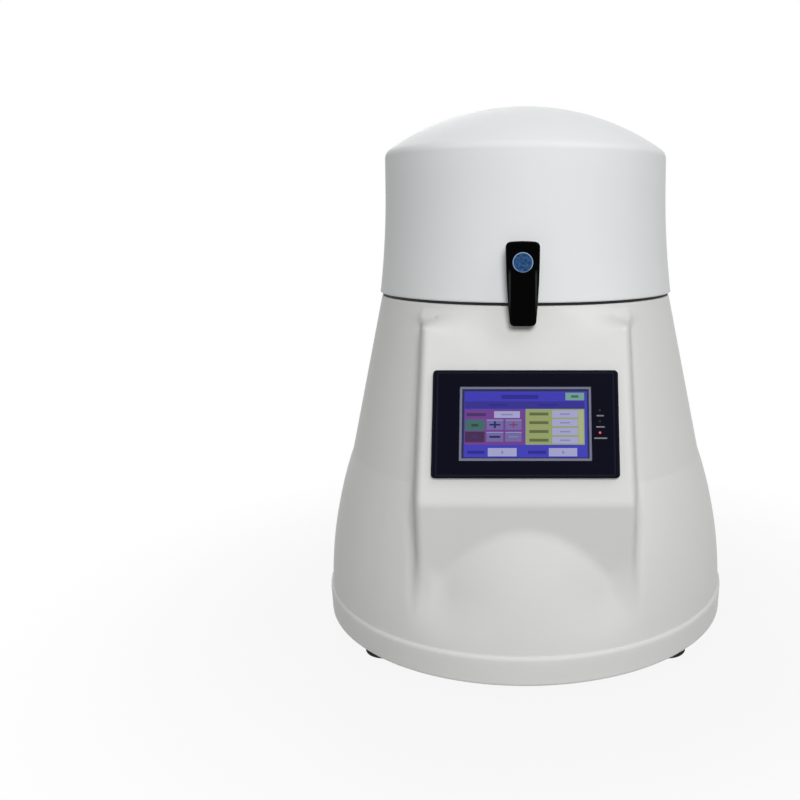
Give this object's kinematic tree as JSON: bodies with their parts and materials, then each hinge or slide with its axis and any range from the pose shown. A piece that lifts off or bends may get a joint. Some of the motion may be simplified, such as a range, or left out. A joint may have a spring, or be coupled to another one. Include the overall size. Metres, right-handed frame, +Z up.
{
  "type": "tissue grinder",
  "caption": "Bench tissue grinder: bell-shaped housing with a sloped touch-panel console, domed hinged lid with a black pull latch, and a crank-driven shaking tube platform inside.",
  "frame": {"origin": "on the housing's upright axis, at the underside of the feet", "axes": "+Z up, -Y to the front where the touch panel is, +Y to the rear hinge, +X to the right seen from the front"},
  "size_m": [0.3724, 0.3724, 0.4752],
  "materials": {
    "housing_white": "satin",
    "black_gloss": "gloss",
    "panel_black": "satin",
    "screen": "gloss",
    "indicator": "gloss",
    "badge_blue": "gloss",
    "seal_rubber": "matt",
    "foot_rubber": "matt",
    "stainless": "brushed",
    "steel": "ground",
    "aluminium": "anodised",
    "cast": "painted",
    "bronze": "machined",
    "belt_rubber": "matt",
    "liner_grey": "satin",
    "black_plastic": "satin",
    "board_green": "satin",
    "magnet": "plated",
    "knob_black": "satin"
  },
  "bodies": {
    "base": {"body_shell": "housing_white", "rim_gasket": "seal_rubber", "chamber_tub": "stainless", "base_plate": "steel", "base_screws": "steel", "foot_screws": "steel", "isolators": "foot_rubber", "machine_bed": "aluminium", "bearing_blocks": "cast", "crank_bearings": "steel", "guide_posts": "steel", "guide_plate": "aluminium", "guide_bushes": "bronze", "motor_body": "cast", "motor_bracket": "steel", "drive_belt": "belt_rubber", "hinge_base_leaf": "stainless", "hinge_pin": "steel", "latch_keeper": "stainless", "panel_bezel": "panel_black", "touch_screen": "screen", "panel_housing": "black_plastic", "status_lights": "indicator", "motor_drive": "black_plastic", "controller_board": "board_green", "board_standoffs": "bronze", "fan_frame": "black_plastic", "vent_grille": "stainless", "power_inlet": "black_plastic", "foot_front_left": "foot_rubber", "foot_front_right": "foot_rubber", "foot_rear_left": "foot_rubber", "foot_rear_right": "foot_rubber"},
    "lid": {"lid_shell": "housing_white", "lid_liner": "liner_grey", "lid_hinge_leaf": "stainless", "latch_bracket": "stainless", "latch_pin": "steel", "latch_spring": "steel"},
    "latch": {"latch_lever": "black_gloss", "latch_badge": "badge_blue", "latch_magnet": "magnet"},
    "carriage": {"drive_shaft": "steel", "wrist_pin": "steel", "guide_rods": "steel", "platform": "aluminium", "clamp_stud": "stainless", "sample_block": "aluminium"},
    "rod": {"connecting_rod": "aluminium", "crank_pin": "steel"},
    "crank": {"crankshaft": "steel", "crank_disc": "cast", "crank_pulley": "aluminium"},
    "motor": {"motor_shaft": "steel", "motor_pulley": "aluminium"},
    "press": {"press_plate": "stainless"},
    "knob": {"clamp_knob": "knob_black"},
    "fan": {"fan_rotor": "black_plastic"},
    "fuse": {"fuse_drawer": "black_plastic"},
    "rocker": {"power_rocker": "black_gloss"}
  },
  "joints": [
    {"name": "lid_hinge", "type": "hinge", "parent": "base", "child": "lid", "pos_m": [0, 0.147, 0.304], "axis": [-1, 0, 0], "range_deg": [0, 75]},
    {"name": "latch_pull", "type": "hinge", "parent": "lid", "child": "latch", "pos_m": [-0.002, -0.1445, 0.346], "axis": [-1, 0, 0], "range_deg": [0, 20], "stiffness_Nm_per_rad": 0.05, "springref_deg": -20.05},
    {"name": "carriage_stroke", "type": "slide", "parent": "base", "child": "carriage", "axis": [0, 0, 1], "range_m": [0, 0.02]},
    {"name": "rod_swing", "type": "hinge", "parent": "carriage", "child": "rod", "pos_m": [0, 0, 0.152], "axis": [1, 0, 0], "range_deg": [-8.2, 8.2]},
    {"name": "crank_spin", "type": "hinge", "parent": "base", "child": "crank", "pos_m": [0, 0, 0.092], "axis": [1, 0, 0], "continuous": true},
    {"name": "motor_spin", "type": "hinge", "parent": "base", "child": "motor", "pos_m": [0, 0.088, 0.098], "axis": [1, 0, 0], "continuous": true},
    {"name": "plate_lift", "type": "slide", "parent": "carriage", "child": "press", "axis": [0, 0, 1], "range_m": [0, 0.016]},
    {"name": "knob_turn", "type": "hinge", "parent": "press", "child": "knob", "pos_m": [0, 0, 0.31], "axis": [0, 0, 1], "range_deg": [0, 2880]},
    {"name": "fan_spin", "type": "hinge", "parent": "base", "child": "fan", "pos_m": [-0.028, 0.1605, 0.1], "axis": [0, 1, 0], "continuous": true},
    {"name": "fuse_drawer_slide", "type": "slide", "parent": "base", "child": "fuse", "axis": [0, 1, 0], "range_m": [0, 0.02]},
    {"name": "power_switch", "type": "hinge", "parent": "base", "child": "rocker", "pos_m": [0.03, 0.1705, 0.1225], "axis": [1, 0, 0], "range_deg": [0, 14]}
  ],
  "couplings": [
    {"joint": "motor_spin", "follows": "crank_spin", "ratio": 1.6},
    {"joint": "knob_turn", "follows": "plate_lift", "rad_per_m": 3141.6}
  ]
}
